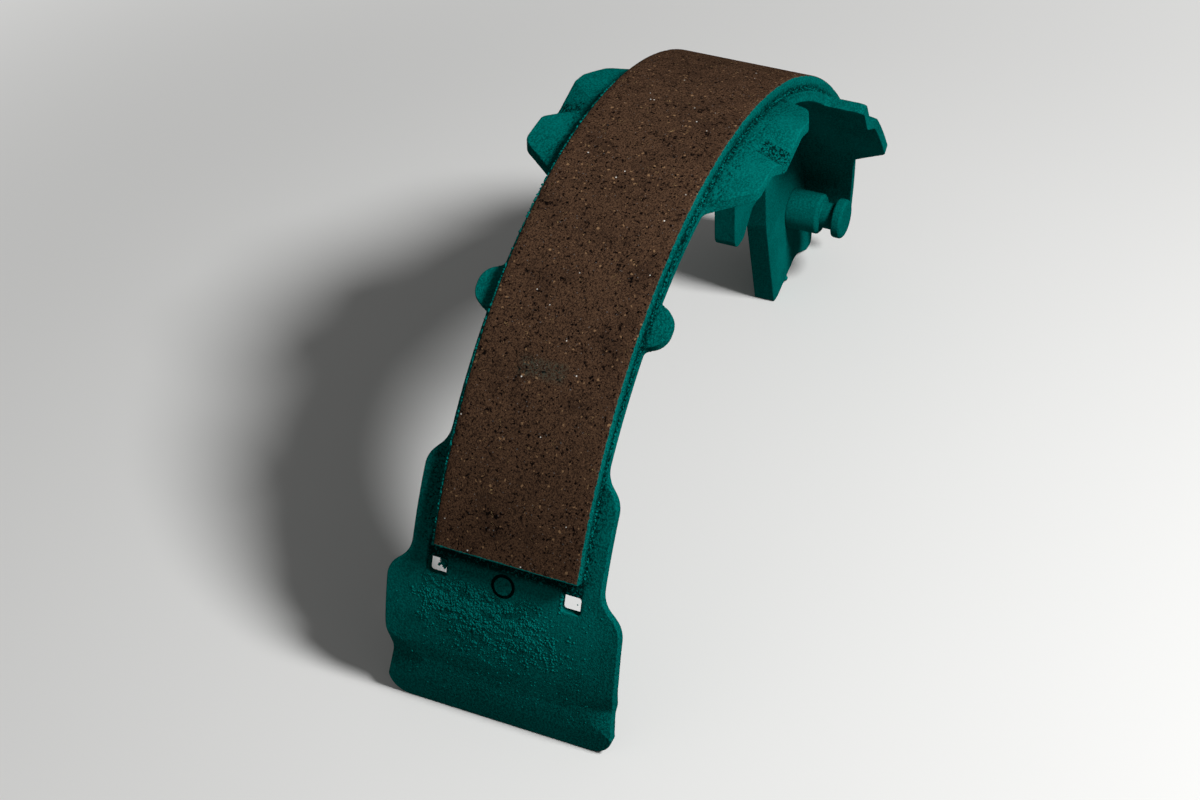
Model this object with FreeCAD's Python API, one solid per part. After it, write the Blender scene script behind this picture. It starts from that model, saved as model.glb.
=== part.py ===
import FreeCAD, Part
import math
import os

# Drum brake shoe, millimetres, +Z up.
# It stands on its toe, on its foot and on the lower edge of its end plate.
# X runs along the shoe, towards the end plate. Y is the width. The origin is the middle of the
# footprint, on the floor. Angles are degrees round the drum's axis, from straight up towards the
# far end, so the end plate has negative ones. Outlines of the web are (far, up) from that axis.

# The drum and how the shoe stands in it
DRUM_RADIUS = 114.3
FLOOR_ABOVE_AXIS = 1.2

# The friction lining
LINING_THICKNESS = 4.0
LINING_WIDTH = 39.0
LINING_NEAR = -64.0
LINING_FAR = 52.0
LINING_SKEW = 0.5
LINING_SHIFT = 0.4

# The rim, one pressed sheet
SHEET = 3.0
STRIP_WIDTH = 41.6
NARROW_TAB_WIDTH = 51.4
PLATE_WIDTH = 63.4
FULL_WIDTH = 64.4
RIM_FAR = 82.0
RIM_FAR_WIDTH = 32.6
SHOULDER_NEAR = -50.6
SHOULDER_WIDE = -66.4
SHOULDER_RUN = 5.2
SHOULDER_ROUND = 7.0
PLATE_CORNER = 6.0
LUG_ANGLE = -30.3
LUG_RADIUS = 5.7
LUG_REACH = 5.2
LUG_ROUND = 5.1
LUG_ROOT = 1.6
STEP_TAB_NEAR = -11.4
STEP_TAB_FAR = 19.0
NEAR_BEVEL = 8.5
FAR_BEVEL = 13.0
STEP_TAB_ROUND = 4.5
FAR_TAB_NEAR = 40.5
FAR_TAB_FAR = 64.2
FAR_TAB_BEVEL = 7.5
FAR_TAB_WIDTH = 63.4
EDGE_ROUND = 2.2

# Pressed V-shaped darts that stiffen the tabs: angle, depth, run of the near flank, run of the
# far flank and reach in from the edge
STEP_DART = (3.3, 4.8, 9.5, 13.5, 12.5)
FAR_DART = (46.0, 2.8, 8.5, 8.5, 12.5)
PLATE_DART = (-82.4, 2.8, 9.5, 7.5, 12.5)
PLATE_DRAW_IN = 1.2
FOOT_DRAW_IN = 0.4
DRAW_IN_RUN = 8.0
DRAW_IN_ROUND = 20.0
DART_CREST = 16.0
DART_BOTTOM = 4.0

# Slots and ring mark of the end plate
SLOT_TOP = -66.4
SLOT_LENGTH = 4.6
SLOT_WIDTH = 5.2
SLOT_SPACING = 36.4
MARK_ANGLE = -67.8
MARK_RADIUS = 2.8
MARK_WIDTH = 0.9
MARK_DEPTH = 0.6

# The web, one flat plate
WEB_THICKNESS = 6.5
WEB_DEPTH = 26.0
WEB_NEAR = -83.0
WEB_END_GAP = 0.6
FOOT_OVERHANG = 1.7
TOE_INSET = 32.3
TOE_WIDTH = 3.2
TOE_ROUND = 0.9
FOOT_WIDTH = 5.0
FOOT_ROUND = 1.8
FOOT_RISE = 4.0
END_ARCH = 5.2
ARCH_TOP = 9.8
ARCH_ROUND = 8.0
FINGER_TIP = 43.3
FINGER_WIDTH = 6.9
FINGER_ROUND = 3.3
FINGER_TO_NOTCH = 13.7
NOTCH_TOP = 49.6
NOTCH_WIDTH = 10.7
NOTCH_INSET = 41.0
NOTCH_ROUND = 2.5
LEG_BEND = 34.0
LEG_BEND_OUT = 1.2
LEG_BEND_ROUND = 14.0
LEG_BACK = 12.0
ADJUSTER_SLOT_WIDTH = 8.4
ADJUSTER_SLOT_DEPTH = 13.0
HOLD_DOWN_BORE = 9.5
HOLD_DOWN_ANGLE = -4.0
SPRING_BORE = 6.2
SPRING_ANGLES = (-62.0, 47.0)

# The lever pivot pin, turned in one piece and riveted over the web
PIN_INSET = 11.1
PIN_ANGLE = 73.4
PIN_SHANK = 9.0
PIN_BOSS = 12.4
PIN_BOSS_LENGTH = 10.1
PIN_NECK = 8.0
PIN_NECK_LENGTH = 4.3
PIN_HEAD = 12.1
PIN_HEAD_LENGTH = 3.1
PIN_CHAMFER = 0.8
RIVET_HEAD = 13.0
RIVET_HEIGHT = 2.2
RIVET_SIDE = 0.7

# How far a tool or a joined piece runs past the surface it meets
OVERLAP = 1.0

# Sizes that follow from the ones above
RIM_OUTER = DRUM_RADIUS - LINING_THICKNESS
RIM_INNER = RIM_OUTER - SHEET
WEB_INNER = RIM_INNER - WEB_DEPTH
WEB_MIDDLE = RIM_INNER - WEB_DEPTH / 2
FOOT_REACH = RIM_OUTER + FOOT_OVERHANG
TOE_FAR = RIM_OUTER - TOE_INSET
NOTCH_FAR = RIM_OUTER - NOTCH_INSET
NOTCH_NEAR = NOTCH_FAR - NOTCH_WIDTH
FINGER_NEAR = NOTCH_NEAR - FINGER_TO_NOTCH
STRIP_HALF = STRIP_WIDTH / 2
TAB_HALF = NARROW_TAB_WIDTH / 2
FULL_HALF = FULL_WIDTH / 2
PLATE_HALF = PLATE_WIDTH / 2
PLATE_FOOT_HALF = PLATE_HALF - FOOT_DRAW_IN
ACROSS = FreeCAD.Vector(0, 1, 0)
# The rim's near end, run on by the sheet's thickness so that the floor's plane trims it
RIM_NEAR = -90 - math.degrees(SHEET / RIM_OUTER)


def polar(radius, angle, y=0.0):
    """A point at a radius and an angle from straight up, in the frame of the drum's axis."""
    turn = math.radians(angle)
    return FreeCAD.Vector(-radius * math.sin(turn), y, radius * math.cos(turn))


def sector(inner, outer, start, end, width):
    """A slab of a ring between two angles, with its middle at Y = 0."""
    middle = (start + end) / 2
    half = -width / 2
    edges = [
        Part.Arc(polar(outer, start, half), polar(outer, middle, half), polar(outer, end, half)).toShape(),
        Part.makeLine(polar(outer, end, half), polar(inner, end, half)),
        Part.Arc(polar(inner, end, half), polar(inner, middle, half), polar(inner, start, half)).toShape(),
        Part.makeLine(polar(inner, start, half), polar(outer, start, half)),
    ]
    return Part.Face(Part.Wire(edges)).extrude(FreeCAD.Vector(0, width, 0))


def rounded(corners, place):
    """A closed wire through corners (u, v, radius), each with an arc of its radius."""
    count = len(corners)
    spots = [FreeCAD.Vector(u, v, 0) for u, v, radius in corners]
    runs = []
    for i in range(count):
        corner = spots[i]
        before = (spots[i - 1] - corner).normalize()
        after = (spots[(i + 1) % count] - corner).normalize()
        radius = corners[i][2]
        if radius == 0:
            runs.append((corner, corner, corner))
            continue
        half = before.getAngle(after) / 2
        reach = radius / math.tan(half)
        inward = (before + after).normalize()
        middle = corner + inward * (radius / math.sin(half) - radius)
        runs.append((corner + before * reach, middle, corner + after * reach))
    edges = []
    for i in range(count):
        start, middle, end = [place(p) for p in runs[i]]
        if corners[i][2] > 0:
            edges.append(Part.Arc(start, middle, end).toShape())
        edges.append(Part.makeLine(end, place(runs[(i + 1) % count][0])))
    return Part.Wire(edges)


def radial_place(angle, radius):
    """Maps (distance towards the far end, y) to a plane square to the radius at an angle."""
    centre = polar(radius, angle)
    along = polar(1, angle + 90)
    return lambda p: centre + along * p.x + FreeCAD.Vector(0, p.y, 0)


def radial_prism(corners, angle, inner=RIM_INNER / 2, outer=RIM_OUTER + OVERLAP):
    """A prism along the radius at an angle, over a rounded outline."""
    face = Part.Face(rounded(corners, radial_place(angle, inner)))
    return face.extrude(polar(outer - inner, angle))


def run_to(angle, middle):
    """Distance along the sheet's tangent plane from the middle angle to another."""
    return RIM_OUTER * math.sin(math.radians(angle - middle))


def both_sides(shape):
    """A shape and its mirror image across the middle of the width."""
    mirror = shape.mirror(FreeCAD.Vector(0, 0, 0), ACROSS)
    return [shape, mirror]


def tab(prism, start, end):
    """The part of the rim's sheet inside a prism, between two angles."""
    return sector(RIM_INNER, RIM_OUTER, start, end, FULL_WIDTH + 2 * OVERLAP).common(prism)


def end_plate_prism():
    """Outline of one half of the end plate: two S-shaped shoulders, and an edge drawn in at the dart."""
    middle = (SHOULDER_NEAR + SHOULDER_WIDE) / 2
    first = run_to(SHOULDER_NEAR, middle)
    second = run_to(SHOULDER_WIDE, middle)
    drawn = run_to(PLATE_DART[0], middle)
    corners = [
        (first + SHOULDER_RUN, 0, 0),
        (first + SHOULDER_RUN, STRIP_HALF, 0),
        (first, STRIP_HALF, SHOULDER_ROUND),
        (first - SHOULDER_RUN, TAB_HALF, SHOULDER_ROUND),
        (second, TAB_HALF, SHOULDER_ROUND),
        (second - SHOULDER_RUN, PLATE_HALF, SHOULDER_ROUND),
        (drawn + DRAW_IN_RUN, PLATE_HALF, DRAW_IN_ROUND),
        (drawn, PLATE_HALF - PLATE_DRAW_IN, DRAW_IN_ROUND / 2),
        (drawn - DRAW_IN_RUN, PLATE_FOOT_HALF, DRAW_IN_ROUND),
        (-RIM_OUTER, PLATE_FOOT_HALF, 0),
        (-RIM_OUTER, 0, 0),
    ]
    return radial_prism(corners, middle)


def lug_prism():
    """Outline of one half-round lug, with hollow roots where it leaves the strip."""
    foot = 2 * LUG_RADIUS
    corners = [
        (-foot, 0, 0),
        (-foot, STRIP_HALF, 0),
        (-LUG_RADIUS, STRIP_HALF, LUG_ROOT),
        (-LUG_RADIUS, STRIP_HALF + LUG_REACH, LUG_ROUND),
        (LUG_RADIUS, STRIP_HALF + LUG_REACH, LUG_ROUND),
        (LUG_RADIUS, STRIP_HALF, LUG_ROOT),
        (foot, STRIP_HALF, 0),
        (foot, 0, 0),
    ]
    return radial_prism(corners, LUG_ANGLE)


def step_tab_prism():
    """Outline of one middle tab, bevelled towards both ends."""
    middle = (STEP_TAB_NEAR + STEP_TAB_FAR) / 2
    near = run_to(STEP_TAB_NEAR, middle)
    far = run_to(STEP_TAB_FAR, middle)
    corners = [
        (near - EDGE_ROUND, 0, 0),
        (near - EDGE_ROUND, STRIP_HALF, 0),
        (near, STRIP_HALF, EDGE_ROUND),
        (near + NEAR_BEVEL, FULL_HALF, STEP_TAB_ROUND),
        (far - FAR_BEVEL, FULL_HALF, STEP_TAB_ROUND),
        (far - FAR_BEVEL / 3, (TAB_HALF + FULL_HALF) / 2, STEP_TAB_ROUND),
        (far, STRIP_HALF, 0),
        (far, 0, 0),
    ]
    return radial_prism(corners, middle)


def far_tab_prism():
    """Outline of one far tab, square on its near side, with the tapered end of the strip."""
    middle = (FAR_TAB_NEAR + FAR_TAB_FAR) / 2
    near = run_to(FAR_TAB_NEAR, middle)
    far = run_to(FAR_TAB_FAR, middle)
    end = run_to(RIM_FAR + OVERLAP, middle)
    corners = [
        (near - 2 * EDGE_ROUND, 0, 0),
        (near - 2 * EDGE_ROUND, STRIP_HALF, 0),
        (near, STRIP_HALF, EDGE_ROUND),
        (near, FAR_TAB_WIDTH / 2, EDGE_ROUND),
        (far - FAR_TAB_BEVEL, FAR_TAB_WIDTH / 2, EDGE_ROUND),
        (far, STRIP_HALF, EDGE_ROUND),
        (end, RIM_FAR_WIDTH / 2, 0),
        (end, 0, 0),
    ]
    return radial_prism(corners, middle)


def dart_tool(dart, drop=0.0):
    """A V-shaped valley at a tab's edge that runs out further in, moved inwards by a drop."""
    angle, depth, near_run, far_run, reach = dart
    centre = polar(RIM_OUTER - drop, angle, FULL_HALF)
    along = polar(1, angle + 90)
    rise = polar(1, angle)
    corners = [
        (-near_run - DART_CREST, depth, 0),
        (-near_run - DART_CREST, 0, 0),
        (-near_run, 0, DART_CREST),
        (0, -depth, DART_BOTTOM),
        (far_run, 0, DART_CREST),
        (far_run + DART_CREST, 0, 0),
        (far_run + DART_CREST, depth, 0),
    ]
    fall = ACROSS * -reach + rise * depth
    past = fall * (OVERLAP / reach)
    wire = rounded(corners, lambda p: centre + along * p.x + rise * p.y - past)
    return Part.Face(wire).extrude(fall + past)


def plate_corner_tool():
    """What the round lower corner of the end plate leaves out."""
    top = FLOOR_ABOVE_AXIS + PLATE_CORNER
    side = PLATE_FOOT_HALF - PLATE_CORNER
    corner = FreeCAD.Vector(RIM_INNER / 2, side, top - 2 * PLATE_CORNER)
    block = Part.makeBox(RIM_OUTER, 2 * PLATE_CORNER, 2 * PLATE_CORNER, corner)
    centre = FreeCAD.Vector(0, side, top)
    return block.cut(Part.makeCylinder(PLATE_CORNER, 2 * RIM_OUTER, centre, FreeCAD.Vector(1, 0, 0)))


def slot_tool():
    """One rectangular slot through the end plate, beside the corner of the lining."""
    angle = SLOT_TOP - math.degrees(SLOT_LENGTH / 2 / RIM_OUTER)
    side = SLOT_SPACING / 2
    corners = []
    for u, v in ((-1, -1), (1, -1), (1, 1), (-1, 1)):
        corners.append((u * SLOT_LENGTH / 2, side + v * SLOT_WIDTH / 2, EDGE_ROUND / 3))
    return radial_prism(corners, angle)


def ring_mark_tool():
    """The ring-shaped groove pressed into the end plate below the lining."""
    start = polar(RIM_OUTER - MARK_DEPTH, MARK_ANGLE)
    rise = polar(1, MARK_ANGLE)
    outer = Part.makeCylinder(MARK_RADIUS + MARK_WIDTH / 2, SHEET, start, rise)
    inner = Part.makeCylinder(MARK_RADIUS - MARK_WIDTH / 2, SHEET, start, rise)
    return outer.cut(inner)


def inside_of_sheet():
    """All that lies further in than the middle of the rim's sheet."""
    radius = (RIM_OUTER + RIM_INNER) / 2
    return Part.makeCylinder(radius, 2 * FULL_WIDTH, FreeCAD.Vector(0, -FULL_WIDTH, 0), ACROSS)


def below_floor():
    """A block below the floor that the shoe stands on."""
    size = 4 * DRUM_RADIUS
    corner = FreeCAD.Vector(-size / 2, -size / 2, FLOOR_ABOVE_AXIS - size)
    return Part.makeBox(size, size, size, corner)


def rim_blank():
    """The rolled strip with all its tabs and lugs, before pressing."""
    plate_tabs = tab(end_plate_prism(), RIM_NEAR, SHOULDER_NEAR + 2 * SHOULDER_RUN)
    lug_span = math.degrees(3 * LUG_RADIUS / RIM_OUTER)
    lugs = tab(lug_prism(), LUG_ANGLE - lug_span, LUG_ANGLE + lug_span)
    step_tabs = tab(step_tab_prism(), STEP_TAB_NEAR - EDGE_ROUND, STEP_TAB_FAR + OVERLAP)
    far_tabs = tab(far_tab_prism(), FAR_TAB_NEAR - 2 * EDGE_ROUND, RIM_FAR)
    strip = sector(RIM_INNER, RIM_OUTER, RIM_NEAR, FAR_TAB_FAR - EDGE_ROUND, STRIP_WIDTH)
    pieces = []
    for half in (plate_tabs, lugs, step_tabs, far_tabs):
        pieces += both_sides(half)
    return strip.fuse(pieces).removeSplitter()


def make_rim():
    """The rim: a rolled strip with its tabs, lugs and end plate, all from one sheet."""
    bulges = []
    recesses = []
    pressed = (
        (STEP_DART, step_tab_prism()),
        (FAR_DART, far_tab_prism()),
        (PLATE_DART, end_plate_prism()),
    )
    for dart, prism in pressed:
        bulges += both_sides(dart_tool(dart, drop=SHEET).common(prism).common(inside_of_sheet()))
        recesses += both_sides(dart_tool(dart))
    recesses += both_sides(plate_corner_tool())
    recesses += both_sides(slot_tool())
    recesses += [ring_mark_tool(), below_floor()]
    return rim_blank().fuse(bulges).cut(recesses).removeSplitter()


def plate(wire):
    """A flat plate of the web's thickness over a wire in the plane Y = 0."""
    solid = Part.Face(wire).extrude(FreeCAD.Vector(0, WEB_THICKNESS, 0))
    solid.translate(FreeCAD.Vector(0, -WEB_THICKNESS / 2, 0))
    return solid


def side_place(p):
    """Maps (far, up) from the drum's axis to the plane Y = 0."""
    return FreeCAD.Vector(-p.x, 0, p.y)


def leg_outline():
    """The far leg: finger, strut notch, toe, arched end and foot."""
    floor = FLOOR_ABOVE_AXIS
    toe_end = TOE_FAR + TOE_WIDTH
    foot_start = FOOT_REACH - FOOT_WIDTH
    back = RIM_INNER - LEG_BACK / 2
    finger_angle = math.degrees(math.asin(FINGER_NEAR / back))
    end_angle = RIM_FAR + WEB_END_GAP
    corners = [
        (FINGER_NEAR, FINGER_TIP, FINGER_ROUND),
        (FINGER_NEAR + FINGER_WIDTH, FINGER_TIP, FINGER_ROUND),
        (NOTCH_NEAR, NOTCH_TOP, NOTCH_ROUND),
        (NOTCH_FAR, NOTCH_TOP, NOTCH_ROUND / 2),
        (NOTCH_FAR + LEG_BEND_OUT, LEG_BEND, LEG_BEND_ROUND),
        (TOE_FAR, floor, TOE_ROUND),
        (toe_end, floor, FOOT_ROUND),
        (foot_start - ARCH_TOP, floor + END_ARCH, ARCH_ROUND),
        (foot_start, floor, TOE_ROUND),
        (FOOT_REACH - TOE_ROUND, floor, FOOT_ROUND),
        (FOOT_REACH, floor + FOOT_RISE, 0),
    ]
    spots = [polar(FOOT_REACH, end_angle), polar(back, end_angle)]
    for share in (1 / 3, 2 / 3, 1):
        spots.append(polar(back, end_angle + (finger_angle - end_angle) * share))
    return rounded(corners + [(-spot.x, spot.z, 0) for spot in spots], side_place)


def hole(radius, angle, bore):
    """A round hole across the web."""
    return Part.makeCylinder(bore / 2, 2 * WEB_THICKNESS, polar(radius, angle, -WEB_THICKNESS), ACROSS)


def adjuster_slot():
    """The slot in the near end of the web that takes the forked end of the adjuster."""
    end = WEB_NEAR + math.degrees(ADJUSTER_SLOT_DEPTH / WEB_MIDDLE)
    inner = WEB_MIDDLE - ADJUSTER_SLOT_WIDTH / 2
    outer = WEB_MIDDLE + ADJUSTER_SLOT_WIDTH / 2
    open_end = 2 * WEB_NEAR - end
    return sector(inner, outer, open_end, end, 2 * WEB_THICKNESS)


def make_web():
    """The web: a flat pressing that stands square under the middle of the rim."""
    leg_start = math.degrees(math.asin(FINGER_NEAR / WEB_INNER)) + 2 * OVERLAP
    arc = sector(WEB_INNER, RIM_INNER, WEB_NEAR, leg_start, WEB_THICKNESS)
    back_start = leg_start - 2 * OVERLAP
    back_end = RIM_FAR + WEB_END_GAP
    back = sector(RIM_INNER - LEG_BACK, RIM_INNER, back_start, back_end, WEB_THICKNESS)
    web = arc.fuse([back, plate(leg_outline())]).removeSplitter()
    tools = [hole(WEB_MIDDLE, HOLD_DOWN_ANGLE, HOLD_DOWN_BORE), adjuster_slot()]
    for angle in SPRING_ANGLES:
        tools.append(hole(WEB_MIDDLE, angle, SPRING_BORE))
    tools.append(hole(RIM_INNER - PIN_INSET, PIN_ANGLE, PIN_SHANK))
    return web.cut(tools).cut(below_floor())


def make_lining():
    """The friction lining, an arc bonded to the rim, a little askew of the rim's middle."""
    arc = sector(RIM_OUTER, DRUM_RADIUS, LINING_NEAR, LINING_FAR, 2 * LINING_WIDTH)
    length = 4 * DRUM_RADIUS
    corner = FreeCAD.Vector(-length / 2, LINING_SHIFT - LINING_WIDTH / 2, 0)
    strip = Part.makeBox(length, LINING_WIDTH, length, corner)
    strip.rotate(FreeCAD.Vector(0, 0, 0), FreeCAD.Vector(0, 0, 1), LINING_SKEW)
    return arc.common(strip)


def make_pin():
    """The lever pivot pin: boss, neck and head on one side, shank and riveted end in the web."""
    face = WEB_THICKNESS / 2
    boss_end = face + PIN_BOSS_LENGTH
    neck_end = boss_end + PIN_NECK_LENGTH
    tip = neck_end + PIN_HEAD_LENGTH
    profile = [
        (0, -face - RIVET_HEIGHT),
        (RIVET_HEAD / 2 - RIVET_HEIGHT + RIVET_SIDE, -face - RIVET_HEIGHT),
        (RIVET_HEAD / 2, -face - RIVET_SIDE),
        (RIVET_HEAD / 2, -face),
        (PIN_SHANK / 2, -face),
        (PIN_SHANK / 2, face),
        (PIN_BOSS / 2, face),
        (PIN_BOSS / 2, boss_end - PIN_CHAMFER),
        (PIN_BOSS / 2 - PIN_CHAMFER, boss_end),
        (PIN_NECK / 2, boss_end),
        (PIN_NECK / 2, neck_end),
        (PIN_HEAD / 2 - PIN_CHAMFER / 2, neck_end),
        (PIN_HEAD / 2, neck_end + PIN_CHAMFER / 2),
        (PIN_HEAD / 2, tip - PIN_CHAMFER),
        (PIN_HEAD / 2 - PIN_CHAMFER, tip),
        (0, tip),
    ]
    axis = polar(RIM_INNER - PIN_INSET, PIN_ANGLE)
    spots = [axis + FreeCAD.Vector(radius, y, 0) for radius, y in profile]
    return Part.Face(Part.makePolygon(spots + spots[:1])).revolve(axis, ACROSS, 360)


def stand(shape):
    """Moves a piece from the drum's axis to the floor, with the footprint's middle at X = 0."""
    shape.translate(FreeCAD.Vector((FOOT_REACH - RIM_OUTER) / 2, 0, -FLOOR_ABOVE_AXIS))
    return shape


os.makedirs("parts", exist_ok=True)
nodes = {
    "rim": make_rim,
    "web": make_web,
    "friction_lining": make_lining,
    "lever_pivot_pin": make_pin,
}
for name, make in nodes.items():
    piece = stand(make())
    piece.exportStep("parts/" + name + ".step")
    box = piece.BoundBox
    print(name, len(piece.Solids), "solid", piece.isValid(), round(piece.Volume), "mm3",
          [round(v, 2) for v in (box.XMin, box.XMax, box.YMin, box.YMax, box.ZMin, box.ZMax)])
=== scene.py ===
import math
import random

import bmesh
import bpy
from mathutils import Matrix, Vector, noise


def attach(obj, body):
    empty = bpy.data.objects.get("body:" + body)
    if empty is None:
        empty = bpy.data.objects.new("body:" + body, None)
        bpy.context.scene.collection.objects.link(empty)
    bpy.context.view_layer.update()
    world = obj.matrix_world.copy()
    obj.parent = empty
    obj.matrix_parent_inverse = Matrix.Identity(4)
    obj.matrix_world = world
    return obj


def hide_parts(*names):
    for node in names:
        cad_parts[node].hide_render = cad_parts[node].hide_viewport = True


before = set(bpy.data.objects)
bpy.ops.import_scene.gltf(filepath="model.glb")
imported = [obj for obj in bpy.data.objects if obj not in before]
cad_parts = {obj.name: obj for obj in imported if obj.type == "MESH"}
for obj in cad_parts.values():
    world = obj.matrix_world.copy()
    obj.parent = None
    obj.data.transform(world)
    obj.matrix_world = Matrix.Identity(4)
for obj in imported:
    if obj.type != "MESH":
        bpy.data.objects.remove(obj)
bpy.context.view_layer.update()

MM = 0.001

# The drum's axis and the radii round it, in millimetres
AXIS_X = 0.85
AXIS_Z = -1.2
DRUM_RADIUS = 114.3
RIM_OUTER = 110.3
RIM_INNER = 107.3
PIN_RADIUS = 96.2

# Arcs round the axis, in degrees from straight up
LINING_NEAR = -64.0
LINING_FAR = 52.0
PIN_ARC = 73.4
MARK_ARC = -67.8

# Half widths and places across, in millimetres, and how far the lining is turned
RIM_HALF = 20.8
LINING_HALF = 19.5
LINING_SHIFT = 0.4
LINING_SKEW = math.radians(0.5)
WEB_FACE = 3.25
SLOT_MIDDLE = 18.2

# Round the ring mark, in millimetres: its groove, the place left sharp, the place left clean
MARK_GROOVE = (2.3, 3.3)
MARK_SHARP = 4.5
MARK_CLEAR = 4.2

# The widths of the rounded edges, in millimetres
WEB_EASE = 0.35
SHEET_EASE = 0.32
PIN_EASE = 0.28

# Crumbs are made in small batches, as adding each to a large mesh takes long
GRAINS_IN_BATCH = 60

# The colours, as linear red, green and blue
TEAL = (0.0, 0.142, 0.126, 1)
TEAL_PALE = (0.0015, 0.225, 0.202, 1)
TEAL_DEEP = (0.0, 0.064, 0.058, 1)
# A near black teal, used for dirt and for painted shade
GRIME_AND_SHADE = (0.0006, 0.0075, 0.0075, 1)
BINDER = (0.084, 0.045, 0.026, 1)
BINDER_DARK = (0.021, 0.012, 0.0085, 1)
BINDER_LIGHT = (0.165, 0.094, 0.054, 1)
COKE_BLACK = (0.0025, 0.0022, 0.0024, 1)
RUBBER_TAN = (0.30, 0.175, 0.090, 1)
FIBRE_GOLD = (0.48, 0.31, 0.14, 1)
MINERAL_GREY = (0.17, 0.165, 0.16, 1)
GLINT = (0.75, 0.72, 0.66, 1)
FLOOR = (0.80, 0.80, 0.79, 1)
FLOOR_BOUNCE = (0.20, 0.20, 0.20, 1)
SKY = (1, 1, 0.9875, 1)

# The sky's strength as light and as backdrop
SKY_LIGHT = 0.12
SKY_SEEN = 0.80

# The floor's radius in metres, and where it fades into the backdrop, in millimetres
FLOOR_RADIUS = 4.0
FLOOR_FADE = (190, 520)

# The lamps: a name, a place in metres, a size in metres and a power in watts
LAMPS = (
    ("key_lamp", (0.07, 0.58, 0.69), 0.22, 8.6),
    ("fill_lamp", (0.80, -0.50, 0.60), 0.90, 0.25),
)
LAMP_AIM = (0, 0, 0.05)

# The camera's place in metres, the directions behind and above it, and its lens in millimetres
CAMERA_PLACE = (0.45698, 0.19940, 0.4393)
CAMERA_BACK = (0.68983, 0.33253, 0.6432)
CAMERA_UP = (-0.59875, -0.23743, 0.7649)
CAMERA_LENS = 69.45


def at(radius, arc, across=0.0):
    """A point in metres at a radius, an arc in degrees from straight up and a place across."""
    turn = math.radians(arc)
    return Vector((AXIS_X - radius * math.sin(turn), across, AXIS_Z + radius * math.cos(turn))) * MM


def lining_middle(arc):
    """How far across the middle of the lining lies at an arc, as the lining is a little askew."""
    return LINING_SHIFT - DRUM_RADIUS * math.sin(math.radians(arc)) * math.tan(LINING_SKEW)


def out_from_axis(arc):
    """The direction away from the drum's axis."""
    turn = math.radians(arc)
    return Vector((-math.sin(turn), 0, math.cos(turn)))


def from_mark(arc, across):
    """The distance in millimetres from the ring mark, along the end plate."""
    return math.hypot(across, math.radians(arc - MARK_ARC) * RIM_OUTER)


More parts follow.
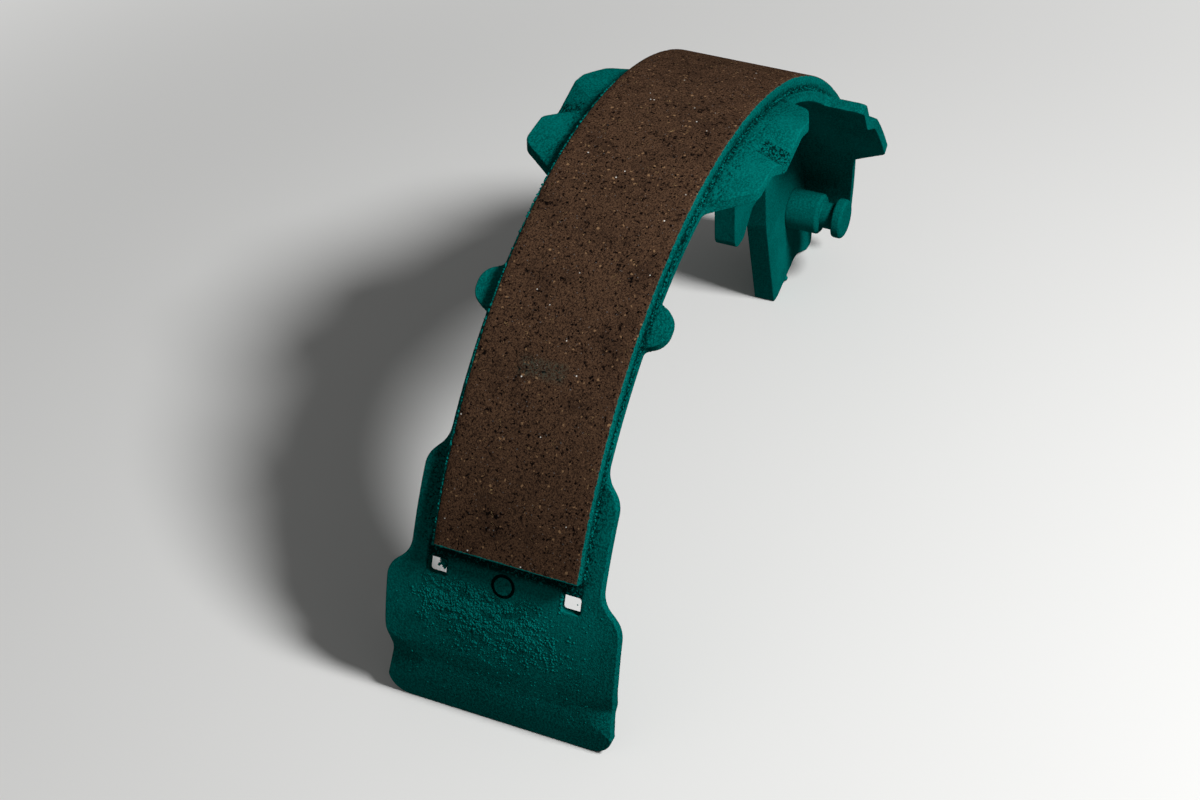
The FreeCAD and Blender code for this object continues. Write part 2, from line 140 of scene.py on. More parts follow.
class Finish:
    """One material: its shader, and short ways to add nodes and join them."""

    def __init__(self, name):
        self.material = bpy.data.materials.new(name)
        self.material.use_nodes = True
        self.tree = self.material.node_tree
        self.shader = next(n for n in self.tree.nodes if n.type == "BSDF_PRINCIPLED")
        spot = self.add("ShaderNodeTexCoord").outputs["Object"]
        to_mm = self.add("ShaderNodeVectorMath", operation="SCALE")
        self.join(to_mm.inputs[0], spot)
        to_mm.inputs["Scale"].default_value = 1 / MM
        self.place = to_mm.outputs[0]
        self.split()

    def add(self, kind, **settings):
        node = self.tree.nodes.new(kind)
        for key, value in settings.items():
            setattr(node, key, value)
        return node

    def join(self, socket, value):
        if isinstance(value, bpy.types.NodeSocket):
            self.tree.links.new(value, socket)
        else:
            socket.default_value = value

    def set(self, name, value):
        """Sets or joins one of the shader's own sockets."""
        self.join(self.shader.inputs[name], value)

    def sum(self, operation, *values, clamp=False):
        node = self.add("ShaderNodeMath", operation=operation, use_clamp=clamp)
        for socket, value in zip(node.inputs, values):
            self.join(socket, value)
        return node.outputs[0]

    def split(self):
        """Width across, distance from the lining's middle, radius and arc round the drum's axis."""
        parts = self.add("ShaderNodeSeparateXYZ")
        self.join(parts.inputs[0], self.place)
        far = self.sum("SUBTRACT", AXIS_X, parts.outputs[0])
        rise = self.sum("SUBTRACT", parts.outputs[2], AXIS_Z)
        square = self.sum("MULTIPLY_ADD", far, far, self.sum("MULTIPLY", rise, rise))
        self.across = parts.outputs[1]
        self.side = self.sum("ABSOLUTE", self.across)
        middle = self.sum("MULTIPLY_ADD", far, -math.tan(LINING_SKEW), LINING_SHIFT)
        self.beside = self.sum("ABSOLUTE", self.sum("SUBTRACT", self.across, middle))
        self.radius = self.sum("SQRT", square)
        self.arc = self.sum("DEGREES", self.sum("ARCTAN2", far, rise))

    def step(self, value, low, high):
        """A smooth step from 0 at low to 1 at high."""
        node = self.add("ShaderNodeMapRange", interpolation_type="SMOOTHSTEP")
        self.join(node.inputs["Value"], value)
        self.join(node.inputs["From Min"], low)
        self.join(node.inputs["From Max"], high)
        return node.outputs["Result"]

    def band(self, value, low, high, soft):
        """1 between low and high, falling to 0 over a soft distance outside them."""
        rise = self.step(value, low - soft, low)
        fall = self.step(value, high + soft, high)
        return self.sum("MULTIPLY", rise, fall)

    def all_of(self, *values):
        found = values[0]
        for value in values[1:]:
            found = self.sum("MULTIPLY", found, value)
        return found

    def any_of(self, *values):
        found = values[0]
        for value in values[1:]:
            found = self.sum("MAXIMUM", found, value)
        return found

    def cloud(self, scale, detail=3.0, roughness=0.55, distortion=0.0, place=None):
        """Cloudy noise with so many lumps to the millimetre."""
        node = self.add("ShaderNodeTexNoise")
        self.join(node.inputs["Vector"], place or self.place)
        node.inputs["Scale"].default_value = scale
        node.inputs["Detail"].default_value = detail
        node.inputs["Roughness"].default_value = roughness
        node.inputs["Distortion"].default_value = distortion
        return node.outputs["Fac"]

    def cells(self, scale, place=None):
        """Each grain's distance and two random values, with so many grains to the millimetre."""
        node = self.add("ShaderNodeTexVoronoi")
        self.join(node.inputs["Vector"], place or self.place)
        node.inputs["Scale"].default_value = scale
        parts = self.add("ShaderNodeSeparateColor")
        self.join(parts.inputs[0], node.outputs["Color"])
        return node.outputs["Distance"], parts.outputs[0], parts.outputs[1]

    def warped(self, scale, reach):
        """The place in millimetres, pushed about by cloudy noise, so that grains aren't round."""
        node = self.add("ShaderNodeTexNoise")
        self.join(node.inputs["Vector"], self.place)
        node.inputs["Scale"].default_value = scale
        node.inputs["Detail"].default_value = 2
        centred = self.add("ShaderNodeVectorMath", operation="SUBTRACT")
        self.join(centred.inputs[0], node.outputs["Color"])
        centred.inputs[1].default_value = (0.5, 0.5, 0.5)
        pushed = self.add("ShaderNodeVectorMath", operation="MULTIPLY_ADD")
        self.join(pushed.inputs[0], centred.outputs[0])
        pushed.inputs[1].default_value = (reach, reach, reach)
        self.join(pushed.inputs[2], self.place)
        return pushed.outputs[0]

    def unrolled(self, stretch):
        """Arc length, width and radius in millimetres, with the length divided by a stretch."""
        node = self.add("ShaderNodeCombineXYZ")
        length = self.sum("MULTIPLY", self.arc, math.radians(1) * DRUM_RADIUS / stretch)
        self.join(node.inputs[0], length)
        self.join(node.inputs[1], self.across)
        self.join(node.inputs[2], self.radius)
        return node.outputs[0]

    def tint(self, share, first, second):
        """One colour blended into another by a share."""
        node = self.add("ShaderNodeMix", data_type="RGBA", clamp_factor=True)
        self.join(node.inputs[0], share)
        self.join(node.inputs[6], first)
        self.join(node.inputs[7], second)
        return node.outputs[2]

    def relief(self, height, rise, under=None):
        """A bump of a rise in millimetres, laid over another."""
        node = self.add("ShaderNodeBump")
        self.join(node.inputs["Height"], height)
        node.inputs["Distance"].default_value = rise * MM
        if under is not None:
            self.join(node.inputs["Normal"], under)
        return node.outputs["Normal"]


def paint_coat(finish):
    """Sprayed teal paint: its colour, roughness and relief, with a fine grain in the spray. The
    colour is darker where the peel's relief is low, as painted shade, and paler on the fine grain's
    raised dots, as painted highlight.
    """
    peel = finish.cloud(1.9, detail=4, roughness=0.68)
    calm = finish.all_of(finish.step(finish.radius, 103.5, 101), 0.6)
    peel = finish.sum("MULTIPLY_ADD", finish.sum("SUBTRACT", 0.5, peel), calm, peel)
    lumps = finish.cloud(0.30, detail=2)
    mottle = finish.cloud(0.045, detail=3)
    far, pick, _ = finish.cells(1.7)
    grit_and_highlight = finish.all_of(finish.step(far, 0.32, 0.10), finish.step(pick, 0.62, 0.66))
    # Painted shade: the colour goes darker where the peel's relief is low.
    colour = finish.tint(finish.step(peel, 0.42, 0.58), TEAL_DEEP, TEAL)
    colour = finish.tint(finish.all_of(finish.step(mottle, 0.42, 0.75), 0.35), colour, TEAL_PALE)
    # Painted highlight: the fine grain's raised dots are painted pale.
    colour = finish.tint(finish.all_of(grit_and_highlight, 0.75), colour, TEAL_PALE)
    normal = finish.relief(peel, 0.24)
    normal = finish.relief(lumps, 0.12, normal)
    normal = finish.relief(grit_and_highlight, 0.10, normal)
    shine = finish.sum("MULTIPLY_ADD", peel, 0.16, finish.sum("MULTIPLY_ADD", mottle, 0.12, 0.34))
    return colour, shine, normal


def steel_paint():
    """Teal paint on the pressed steel, with dirt where the spray pooled and along the lining,
    painted shade on the step tab's dart flank, a painted shadow under the lining's near end, and
    painted shade in the hollows of the end plate's rough patch.
    """
    finish = Finish("teal_paint_on_steel")
    colour, shine, normal = paint_coat(finish)
    streaks = finish.cloud(1.7, detail=4, roughness=0.7, place=finish.unrolled(1.5))
    specks = finish.cloud(1.5, detail=4, roughness=0.75, distortion=0.4)
    outside = finish.step(finish.radius, RIM_INNER + 1.4, RIM_INNER + 2.4)
    covered = finish.band(finish.arc, LINING_NEAR, LINING_FAR, 1.0)

    seam = finish.band(finish.beside, LINING_HALF - 1, LINING_HALF + 0.5, 1.3)
    seam_dirt = finish.all_of(seam, covered, outside, finish.step(specks, 0.47, 0.53))

    tabs = finish.all_of(finish.band(finish.side, RIM_HALF - 0.8, RIM_HALF + 2.2, 5.0), outside)
    tabs = finish.all_of(tabs, finish.band(finish.arc, -11.5, 19, 1.0))
    # Painted shade: the step tab's dart flank is darkened with the streaks, more strongly than the
    # tabs' dust.
    dart_flank_shade = finish.band(finish.side, 25.5, 32, 0.6)
    dart_flank_shade = finish.all_of(dart_flank_shade, finish.band(finish.arc, 1.2, 5.0, 0.4))
    tab_dust_and_flank_shade = finish.any_of(finish.all_of(tabs, 0.74), dart_flank_shade)
    threshold = finish.sum("MULTIPLY_ADD", tab_dust_and_flank_shade, -0.21, 0.71)
    over = finish.sum("SUBTRACT", streaks, threshold)
    tab_dirt_and_flank_shade = finish.all_of(tab_dust_and_flank_shade, finish.step(over, 0.0, 0.02))

    # Painted shadow, with some dirt: a speckled dark band on the rim just under the lining's near
    # end.
    under_lining_end = finish.all_of(finish.band(finish.arc, LINING_NEAR - 1.5, LINING_NEAR + 1, 1.2), outside)
    under_lining_end = finish.all_of(under_lining_end, finish.band(finish.side, 0, LINING_HALF + 0.8, 0.6))
    end_shadow_and_grime = finish.all_of(under_lining_end, finish.step(specks, 0.40, 0.48))

    face = finish.step(finish.radius, RIM_OUTER - 0.5, RIM_OUTER - 0.25)
    slot_side = finish.sum("ABSOLUTE", finish.sum("SUBTRACT", finish.side, SLOT_MIDDLE))
    slot_band = finish.band(finish.arc, -68.3, LINING_NEAR, 0.5)
    slots = finish.all_of(finish.step(slot_side, 3.5, 2.5), slot_band, face)
    # Dark specks on the outer face round the slots.
    slot_dark_specks = finish.all_of(slots, finish.step(specks, 0.40, 0.48))

    mark_spot = at(RIM_OUTER, MARK_ARC) / MM
    reach = finish.add("ShaderNodeVectorMath", operation="DISTANCE")
    finish.join(reach.inputs[0], finish.place)
    reach.inputs[1].default_value = mark_spot
    # The ring mark's groove is darkened where it is sunk.
    ring = finish.band(reach.outputs["Value"], *MARK_GROOVE, 0.1)
    sunk = finish.step(finish.radius, RIM_OUTER - 0.1, RIM_OUTER - 0.3)
    groove_darkening = finish.all_of(ring, sunk, outside)

    shoulders = finish.all_of(finish.band(finish.side, RIM_HALF, RIM_HALF + 1.6, 1.8), outside)
    shoulders = finish.all_of(shoulders, finish.band(finish.arc, LINING_NEAR, -52, 2.0))
    shoulder_dirt = finish.all_of(shoulders, finish.step(specks, 0.54, 0.60))

    # Dirt, together with the painted shade of the dart flank and the painted shadow under the
    # lining's end, all tinted one dark colour.
    grime_and_shade = finish.any_of(seam_dirt, tab_dirt_and_flank_shade, end_shadow_and_grime, slot_dark_specks, shoulder_dirt, groove_darkening)
    colour = finish.tint(finish.all_of(grime_and_shade, 0.93), colour, GRIME_AND_SHADE)
    shine = finish.sum("MULTIPLY_ADD", grime_and_shade, 0.35, shine, clamp=True)

    patch = finish.all_of(finish.band(finish.arc, -75.5, -69.5, 1.8), outside)
    patch = finish.all_of(patch, finish.band(finish.across, -20, 8, 5))
    patch_height = finish.cloud(2.6, detail=3, roughness=0.6)
    patch_share = finish.all_of(patch, finish.step(finish.cloud(0.16, detail=2), 0.42, 0.60))
    normal = finish.relief(finish.all_of(patch_share, patch_height), 0.7, normal)
    # Painted shade: the hollows between the rough patch's lumps are darkened.
    patch_hollow_shade = finish.all_of(patch_share, finish.step(patch_height, 0.50, 0.42), 0.5)
    colour = finish.tint(patch_hollow_shade, colour, GRIME_AND_SHADE)

    normal = finish.relief(finish.sum("MULTIPLY", grime_and_shade, -1), 0.08, normal)
    finish.set("Base Color", colour)
    finish.set("Roughness", shine)
    finish.set("Normal", normal)
    finish.set("Specular IOR Level", 0.0)
    return finish.material


def lit_grain_paint():
    """Teal paint on the loose grains, runs and crumbs, a little paler than on the steel, as painted
    highlight, so that they read as lit.
    """
    finish = Finish("teal_paint_crumbs_lit")
    colour, shine, normal = paint_coat(finish)
    # Painted highlight: the grains' paint is a paler copy of the steel's.
    finish.set("Base Color", finish.tint(0.35, colour, TEAL_PALE))
    finish.set("Roughness", shine)
    finish.set("Normal", normal)
    finish.set("Specular IOR Level", 0.0)
    return finish.material


def lining_composite():
    """Moulded friction composite on the ground outer face, teal overspray on its sides and ends."""
    finish = Finish("friction_composite")
    paint, paint_shine, paint_normal = paint_coat(finish)
    bent = finish.warped(1.1, 0.75)

    coarse = finish.cloud(0.10, detail=3)
    medium = finish.cloud(1.9, detail=5, roughness=0.72)
    fine = finish.cloud(4.2, detail=3, roughness=0.65)
    blotch = finish.cloud(0.72, detail=5, roughness=0.72, distortion=0.5)
    colour = finish.tint(finish.step(medium, 0.42, 0.55), BINDER_DARK, BINDER)
    colour = finish.tint(finish.all_of(finish.step(fine, 0.54, 0.66), 0.85), colour, BINDER_LIGHT)
    colour = finish.tint(finish.all_of(finish.step(fine, 0.46, 0.36), 0.70), colour, BINDER_DARK)
    colour = finish.tint(finish.all_of(finish.step(coarse, 0.48, 0.70), 0.40), colour, BINDER_DARK)

    clots = finish.step(finish.sum("MULTIPLY_ADD", coarse, 0.12, blotch), 0.660, 0.678)
    far, pick, size = finish.cells(1.15, bent)
    edge = finish.sum("MULTIPLY_ADD", size, 0.30, 0.08)
    inside = finish.step(finish.sum("SUBTRACT", far, edge), 0.05, -0.03)
    dust = finish.all_of(inside, finish.step(pick, 0.34, 0.32))
    pores = finish.any_of(clots, dust)
    colour = finish.tint(finish.all_of(pores, 0.95), colour, COKE_BLACK)

    far, pick, size = finish.cells(0.85, finish.warped(1.2, 1.1))
    edge = finish.sum("MULTIPLY_ADD", size, 0.20, 0.10)
    inside = finish.step(finish.sum("SUBTRACT", far, edge), 0.03, -0.03)
    crumb = finish.all_of(inside, finish.step(pick, 0.22, 0.21))
    colour = finish.tint(finish.all_of(crumb, 0.70), colour, RUBBER_TAN)
    far, pick, _ = finish.cells(1.50, bent)
    mineral = finish.all_of(finish.step(far, 0.26, 0.16), finish.step(pick, 0.08, 0.07))
    colour = finish.tint(finish.all_of(mineral, 0.60), colour, MINERAL_GREY)

    curl = finish.cloud(0.42, detail=1.5, distortion=1.3)
    thread = finish.step(finish.sum("ABSOLUTE", finish.sum("SUBTRACT", curl, 0.52)), 0.0060, 0.0035)
    thread = finish.all_of(thread, finish.step(finish.cloud(0.34, detail=1), 0.675, 0.70))
    colour = finish.tint(finish.all_of(thread, 0.75), colour, FIBRE_GOLD)

    far, pick, _ = finish.cells(0.33)
    glint = finish.all_of(finish.step(far, 0.075, 0.055), finish.step(pick, 0.20, 0.19))
    colour = finish.tint(glint, colour, GLINT)

    rub_arc = finish.band(finish.arc, -40.4, -38.8, 0.9)
    rub_width = finish.band(finish.across, -5, 4.5, 2.5)
    rub = finish.all_of(rub_arc, rub_width, finish.step(medium, 0.46, 0.60))
    colour = finish.tint(finish.all_of(rub, 0.38), colour, TEAL_DEEP)

    grind = finish.cloud(1.0, detail=3, roughness=0.7, place=finish.unrolled(9.0))
    normal = finish.relief(finish.sum("MULTIPLY", pores, -1), 0.16)
    normal = finish.relief(fine, 0.05, normal)
    normal = finish.relief(grind, 0.02, normal)
    normal = finish.relief(finish.any_of(crumb, mineral), 0.03, normal)

    ragged = finish.cloud(0.8, detail=4, roughness=0.75)
    past_side = finish.sum("SUBTRACT", finish.beside, LINING_HALF)
    over_side = finish.step(finish.sum("MULTIPLY_ADD", ragged, 0.75, past_side), 0.10, 0.20)
    depth = finish.sum("MULTIPLY_ADD", ragged, 0.5, finish.radius)
    under_face = finish.step(depth, DRUM_RADIUS, DRUM_RADIUS - 0.15)
    past_near = finish.sum("SUBTRACT", finish.arc, LINING_NEAR)
    over_near = finish.step(finish.sum("MULTIPLY_ADD", ragged, -0.42, past_near), -0.05, -0.13)
    past_far = finish.sum("SUBTRACT", finish.arc, LINING_FAR)
    over_far = finish.step(finish.sum("MULTIPLY_ADD", ragged, 0.42, past_far), 0.05, 0.13)
    painted = finish.any_of(over_side, under_face, over_near, over_far)

    specks = finish.cloud(1.5, detail=4, roughness=0.75, distortion=0.4)
    low = finish.step(finish.radius, RIM_OUTER + 3.1, RIM_OUTER + 0.6)
    worn = finish.sum("MULTIPLY_ADD", low, 0.10, specks)
    bare = finish.all_of(low, finish.step(worn, 0.545, 0.60))
    paint = finish.tint(finish.all_of(bare, 0.9), paint, GRIME_AND_SHADE)

    finish.set("Base Color", finish.tint(painted, colour, paint))
    rough = finish.sum("MULTIPLY_ADD", medium, 0.12, 0.78)
    smooth = finish.sum("MULTIPLY_ADD", glint, -0.5, rough)
    shine = finish.add("ShaderNodeMix", data_type="FLOAT")
    finish.join(shine.inputs[0], painted)
    finish.join(shine.inputs[2], smooth)
    finish.join(shine.inputs[3], paint_shine)
    finish.set("Roughness", shine.outputs[0])
    paint_normal = finish.relief(finish.sum("MULTIPLY", bare, -1), 0.12, paint_normal)
    slope = finish.add("ShaderNodeMix", data_type="VECTOR")
    finish.join(slope.inputs[0], painted)
    finish.join(slope.inputs[4], normal)
    finish.join(slope.inputs[5], paint_normal)
    finish.set("Normal", slope.outputs[1])
    finish.set("Specular IOR Level", 0.0)
    return finish.material


def add_piece(name, shape, material, stands_for=None, smooth=40):
    """Puts a finished mesh in the scene as a piece of the shoe."""
    bmesh.ops.recalc_face_normals(shape, faces=shape.faces)
    mesh = bpy.data.meshes.new(name)
    shape.to_mesh(mesh)
    shape.free()
    mesh.materials.append(material)
    mesh.shade_smooth()
    mesh.set_sharp_from_angle(angle=math.radians(smooth))
    piece = bpy.data.objects.new(name, mesh)
    bpy.context.scene.collection.objects.link(piece)
    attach(piece, "root")
    if stands_for:
        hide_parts(stands_for)
    return piece


def round_edges(shape, width, turn):
    """Rounds the edges where faces meet at more than a turn in degrees, but for the ring mark's."""
    shape.normal_update()
    limit = math.radians(turn)
    mark = at(RIM_OUTER, MARK_ARC)
    creases = [e for e in shape.edges if len(e.link_faces) == 2 and e.calc_face_angle() > limit]
    sharp = [e for e in creases if (e.verts[0].co - mark).length > MARK_SHARP * MM]
    bmesh.ops.bevel(
        shape, geom=sharp, offset=width * MM, offset_type="OFFSET", segments=3, profile=0.5,
        affect="EDGES", material=-1, clamp_overlap=False, loop_slide=False,
    )


def node_shape(node):
    """A copy of a node's mesh with its loose triangles joined and its flat faces whole."""
    shape = bmesh.new()
    shape.from_mesh(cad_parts[node].data)
    bmesh.ops.remove_doubles(shape, verts=shape.verts, dist=0.01 * MM)
    bmesh.ops.dissolve_limit(
        shape, angle_limit=math.radians(0.3), use_dissolve_boundaries=False,
        verts=shape.verts, edges=shape.edges, delimit={"SHARP"},
    )
    return shape


def soften(piece):
    """Weights the shading by face area, so that flat faces look flat beside rounded edges."""
    level = piece.modifiers.new("flat_faces", "WEIGHTED_NORMAL")
    level.keep_sharp = True
    return piece


def press_rim(material):
    """The rim sheet with the rounded edges that pressing and paint leave."""
    shape = node_shape("rim")
    round_edges(shape, SHEET_EASE, turn=60)
    return soften(add_piece("rim_pressing", shape, material, "rim"))


def punch_web(material):
    """The web plate with eased edges."""
    shape = node_shape("web")
    round_edges(shape, WEB_EASE, turn=40)
    return soften(add_piece("web_plate", shape, material, "web"))


def grind_lining(material):
    """The lining as one turned arc, a little askew, with ragged upper corners.

    Each point of the section is a radius and a share of the half width.
    """
    section = [
        (RIM_OUTER, 1.0), (RIM_OUTER + 1.0, 1.0), (DRUM_RADIUS - 0.5, 1.0),
        (DRUM_RADIUS - 0.16, 0.992), (DRUM_RADIUS, 0.978), (DRUM_RADIUS, 0.9), (DRUM_RADIUS, 0.5),
    ]
    shape = bmesh.new()
    corners = [shape.verts.new(at(r, LINING_NEAR, LINING_HALF * k)) for r, k in section]
    corners += [shape.verts.new(at(r, LINING_NEAR, -LINING_HALF * k)) for r, k in reversed(section)]
    blank = shape.faces.new(corners)
    axis_point = Vector((AXIS_X, 0, AXIS_Z)) * MM
    bmesh.ops.spin(
        shape, geom=[blank], cent=axis_point, axis=(0, -1, 0),
        angle=math.radians(LINING_FAR - LINING_NEAR), steps=460,
        use_merge=False, use_duplicate=False,
    )
    for vert in shape.verts:
        away = vert.co - axis_point
        across = away.y / MM
        straight = (across + LINING_SHIFT) * MM / math.cos(LINING_SKEW)
        vert.co.y = straight + away.x * math.tan(LINING_SKEW)
        radius = math.hypot(away.x, away.z) / MM
        high = max(0.0, 1 - abs(DRUM_RADIUS - 0.2 - radius) / 1.2)
        corner = high * max(0.0, (abs(across) - 17) / 2.5)
        if corner <= 0:
            continue
        rough = noise.noise(vert.co * 900) * 0.10 + noise.noise(vert.co * 260) * 0.10
        chip = max(0.0, noise.noise(vert.co * 420 + Vector((7, 3, 1))) - 0.42) * 0.9
        lower = (chip + max(0.0, -rough)) * corner
        out = Vector((away.x, 0, away.z)).normalized()
        vert.co -= (out * 0.8 + Vector((0, math.copysign(1, across), 0)) * 0.6) * lower * MM
    slot, node = "friction_composite", "friction_lining"
    return add_piece("lining_arc", shape, material, node, smooth=50)


def turn_pivot_pin(material):
    """The pivot pin, turned from its profile, with rounded shoulders and a riveted end.

    Each point of the profile is a radius and a place across, in millimetres.
    """
    profile = [
        (0, -5.45), (2.6, -5.4), (4.9, -4.95), (6.2, -4.1), (6.5, -3.5),
        (6.5, -WEB_FACE), (4.5, -WEB_FACE), (4.5, WEB_FACE), (6.2, WEB_FACE),
        (6.2, 12.65), (5.4, 13.35), (4.0, 13.35),
        (4.0, 17.65), (5.75, 17.65), (6.05, 18.0), (6.05, 20.1), (5.3, 20.75), (0, 20.75),
    ]
    shape = bmesh.new()
    centre = at(PIN_RADIUS, PIN_ARC)
    verts = [shape.verts.new(centre + Vector((r, across, 0)) * MM) for r, across in profile]
    for first, second in zip(verts, verts[1:]):
        shape.edges.new((first, second))
    bmesh.ops.spin(
        shape, geom=shape.edges[:] + shape.verts[:], cent=centre, axis=(0, 1, 0),
        angle=math.tau, steps=72, use_merge=True, use_duplicate=False,
    )
    bmesh.ops.remove_doubles(shape, verts=shape.verts, dist=0.001 * MM)
    bmesh.ops.recalc_face_normals(shape, faces=shape.faces)
    round_edges(shape, PIN_EASE, turn=35)
    return soften(add_piece("pivot_pin", shape, material, "lever_pivot_pin"))


def grain(shape, spot, up, size, flat, spin):
    """One small crumb of paint, flattened along the surface that it sits on."""
    base = up.to_track_quat("Z", "Y").to_matrix().to_4x4()
    turn = Matrix.Rotation(spin, 4, "Z")
    form = Matrix.Diagonal((size * flat[0], size * flat[1], size * flat[2], 1))
    place = Matrix.Translation(spot) @ base @ turn @ form
    bmesh.ops.create_icosphere(shape, subdivisions=1, radius=MM, matrix=place)


def scatter_on_rim(name, material, count, seed, place, sizes):
    """Crumbs of paint on the rim or lining, each at an arc, width and radius that a rule gives."""
    draw = random.Random(seed)
    shape = bmesh.new()
    batch = bmesh.new()
    hold = bpy.data.meshes.new(name + "_batch")
    made = 0
    while made < count:
        spot = place(draw)
        if spot is None:
            continue
        arc, across, radius = spot
        size = draw.uniform(*sizes) * draw.uniform(0.6, 1.0)
        flat = (draw.uniform(0.8, 1.5), draw.uniform(0.8, 1.5), draw.uniform(0.45, 0.8))
        spin = draw.uniform(0, math.tau)
        grain(batch, at(radius, arc, across), out_from_axis(arc), size, flat, spin)
        made += 1
        if made % GRAINS_IN_BATCH == 0 or made == count:
            batch.to_mesh(hold)
            shape.from_mesh(hold)
            batch.clear()
    batch.free()
    bpy.data.meshes.remove(hold)
    return add_piece(name, shape, material, smooth=180)


def plate_patch(draw):
    """Where the rough patch of the end plate lies: a band that falls from upper left to right."""
    across = draw.triangular(-25, 21, -8)
    middle = -72.2 - max(0.0, across + 4) * 0.12
    spread = 1.3 + 1.7 * max(0.0, 1 - abs(across) / 24)
    arc = draw.gauss(middle, spread)
    clump = noise.noise(Vector((arc * 0.9, across * 0.32, 4.0)))
    on_mark = from_mark(arc, across) <= MARK_CLEAR
    if arc > -68.6 or on_mark or clump < draw.uniform(-0.35, 0.40):
        return None
    return arc, across, RIM_OUTER


def plate_strays(draw):
    """Single crumbs spread thinly over the end plate."""
    arc, across = draw.uniform(-86, -67), draw.uniform(-29, 29)
    if from_mark(arc, across) < MARK_CLEAR:
        return None
    return arc, across, RIM_OUTER


def seam_line(draw):
    """Crumbs in the corner between the lining's sides and the rim."""
    side = draw.choice((-1, 1))
    arc = draw.uniform(LINING_NEAR, LINING_FAR)
    if noise.noise(Vector((arc * 0.35, side * 3.0, 1.5))) < draw.uniform(-0.5, 0.35):
        return None
    across = lining_middle(arc) + side * (LINING_HALF + draw.uniform(0.0, 0.35))
    return arc, across, RIM_OUTER + draw.uniform(0, 0.7)


def corner_line(draw):
    """Crumbs of overspray beside the lining's upper corner, mostly on its left side."""
    side = draw.choices((-1, 1), (6, 1))[0]
    arc = draw.uniform(LINING_NEAR, 8)
    if side < 0 and draw.random() < 0.06:
        arc = draw.gauss(-40.9, 0.9)
    out = draw.uniform(0.02, 0.30) if side < 0 else draw.uniform(-0.14, 0.02)
    across = lining_middle(arc) + side * (LINING_HALF + out)
    return arc, across, DRUM_RADIUS - draw.uniform(0.30, 1.10)


def slot_clumps(draw):
    """Clumps of paint in the upper corner of one slot and on the inner lip of the other."""
    if draw.random() < 0.5:
        arc, across = draw.gauss(-66.9, 0.35), draw.gauss(-16.6, 0.7)
        return arc, across, RIM_OUTER - draw.uniform(0.2, 1.2)
    arc, across = draw.uniform(-69.3, -66.2), draw.gauss(15.5, 0.25)
    return arc, across, RIM_OUTER - draw.uniform(0, 0.4)


def end_line(draw):
    """Crumbs at the foot of the lining's near end."""
    arc = LINING_NEAR - draw.uniform(0.0, 0.9)
    across = draw.uniform(-18.2, 20.2)
    if noise.noise(Vector((across * 0.4, 2.0, 8.0))) < draw.uniform(-0.4, 0.3):
        return None
    return arc, across, RIM_OUTER + draw.uniform(-0.05, 0.2)


def hang_paint_drip(material):
    """The drop of paint that dried under the arched end of the web, beside the toe."""
    shape = bmesh.new()
    spot = Vector((AXIS_X - 88.6, WEB_FACE - 0.5, AXIS_Z + 3.1)) * MM
    bmesh.ops.create_icosphere(shape, subdivisions=3, radius=0.9 * MM)
    for vert in shape.verts:
        low = min(0.0, vert.co.z) / MM
        slim = 1 - 0.30 * max(0.0, vert.co.z / MM)
        vert.co = Vector((vert.co.x * slim, vert.co.y * slim, vert.co.z + 0.5 * low * MM))
    bmesh.ops.translate(shape, verts=shape.verts, vec=spot)
    return add_piece("web_paint_drip", shape, material, smooth=180)


def seen_rays(tree):
    """1 for rays from the camera, off gloss or through glass, and 0 for all others."""
    path = tree.nodes.new("ShaderNodeLightPath")
    seen = path.outputs["Is Camera Ray"]
    for ray in ("Is Glossy Ray", "Is Transmission Ray"):
        either = tree.nodes.new("ShaderNodeMath")
        either.operation = "MAXIMUM"
        tree.links.new(seen, either.inputs[0])
        tree.links.new(path.outputs[ray], either.inputs[1])
        seen = either.outputs[0]
    return seen


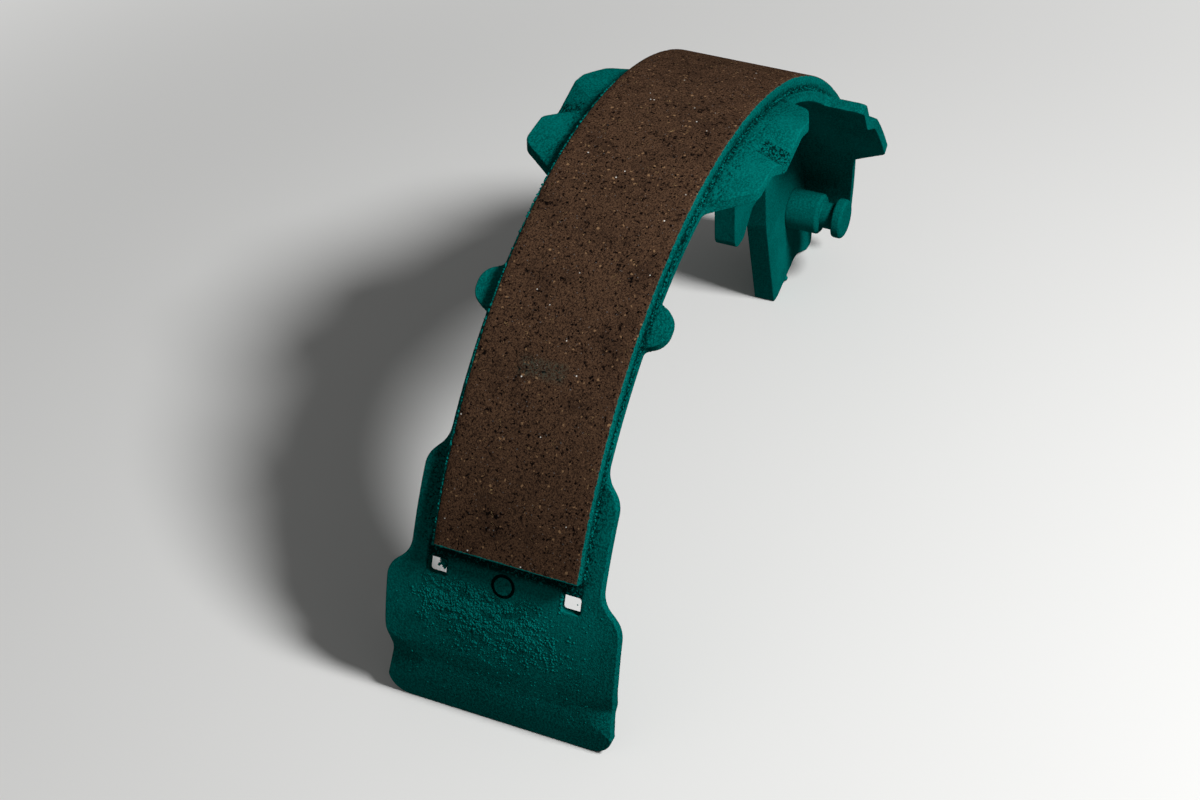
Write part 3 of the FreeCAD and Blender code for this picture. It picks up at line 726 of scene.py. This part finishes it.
def light_the_set():
    """A plain pale floor that fades into the backdrop, even sky light and two soft lamps."""
    shape = bmesh.new()
    bmesh.ops.create_circle(shape, cap_ends=True, segments=96, radius=FLOOR_RADIUS)
    mesh = bpy.data.meshes.new("studio_floor")
    shape.to_mesh(mesh)
    shape.free()
    finish = Finish("studio_floor_paper")
    shade = finish.cloud(0.004, detail=2)
    paper = finish.tint(shade, FLOOR, tuple(c * 0.97 for c in FLOOR[:3]) + (1,))
    seen = seen_rays(finish.tree)
    lit = finish.tint(seen, FLOOR_BOUNCE, paper)
    reach = finish.add("ShaderNodeVectorMath", operation="LENGTH")
    finish.join(reach.inputs[0], finish.place)
    far_off = finish.all_of(finish.step(reach.outputs["Value"], *FLOOR_FADE), seen)
    finish.set("Base Color", finish.tint(far_off, lit, (0, 0, 0, 1)))
    finish.set("Emission Color", FLOOR)
    finish.set("Emission Strength", far_off)
    finish.set("Roughness", 0.85)
    finish.set("Specular IOR Level", 0.0)
    mesh.materials.append(finish.material)
    floor = bpy.data.objects.new("studio_floor", mesh)
    bpy.context.scene.collection.objects.link(floor)

    for name, spot, size, power in LAMPS:
        lamp = bpy.data.lights.new(name, "AREA")
        lamp.shape = "DISK"
        lamp.size = size
        lamp.energy = power
        stand = bpy.data.objects.new(name, lamp)
        stand.location = spot
        aim = Vector(LAMP_AIM) - Vector(spot)
        stand.rotation_mode = "QUATERNION"
        stand.rotation_quaternion = aim.to_track_quat("-Z", "Y")
        bpy.context.scene.collection.objects.link(stand)

    world = bpy.data.worlds.new("studio_sky")
    bpy.context.scene.world = world
    world.use_nodes = True
    tree = world.node_tree
    sky = next(n for n in tree.nodes if n.type == "BACKGROUND")
    sky.inputs["Color"].default_value = SKY
    level = tree.nodes.new("ShaderNodeMapRange")
    level.inputs["To Min"].default_value = SKY_LIGHT
    level.inputs["To Max"].default_value = SKY_SEEN
    tree.links.new(seen_rays(tree), level.inputs["Value"])
    tree.links.new(level.outputs["Result"], sky.inputs["Strength"])


def set_camera():
    """The camera, above the end plate and to its right, looking down along the lining."""
    back = Vector(CAMERA_BACK).normalized()
    right = Vector(CAMERA_UP).cross(back).normalized()
    up = back.cross(right)
    lens = bpy.data.cameras.new("camera")
    lens.lens = CAMERA_LENS
    lens.sensor_width = 36.0
    lens.clip_start = 0.02
    lens.clip_end = 20.0
    camera = bpy.data.objects.new("camera", lens)
    turned = Matrix((right, up, back)).transposed().to_4x4()
    camera.matrix_world = Matrix.Translation(CAMERA_PLACE) @ turned
    bpy.context.scene.collection.objects.link(camera)
    bpy.context.scene.camera = camera


bpy.context.scene.view_settings.view_transform = "Standard"
set_camera()
light_the_set()

steel = steel_paint()
crumbs = lit_grain_paint()
press_rim(steel)
punch_web(steel)
turn_pivot_pin(steel)
grind_lining(lining_composite())
scatter_on_rim("plate_grains", crumbs, 2800, 11, plate_patch, (0.14, 0.42))
scatter_on_rim("plate_stray_grains", crumbs, 260, 12, plate_strays, (0.12, 0.30))
scatter_on_rim("seam_grains", crumbs, 620, 13, seam_line, (0.16, 0.42))
scatter_on_rim("lining_corner_grains", crumbs, 1100, 14, corner_line, (0.20, 0.46))
scatter_on_rim("lining_end_grains", crumbs, 150, 15, end_line, (0.12, 0.38))
scatter_on_rim("slot_grains", crumbs, 60, 16, slot_clumps, (0.30, 0.75))
hang_paint_drip(crumbs)
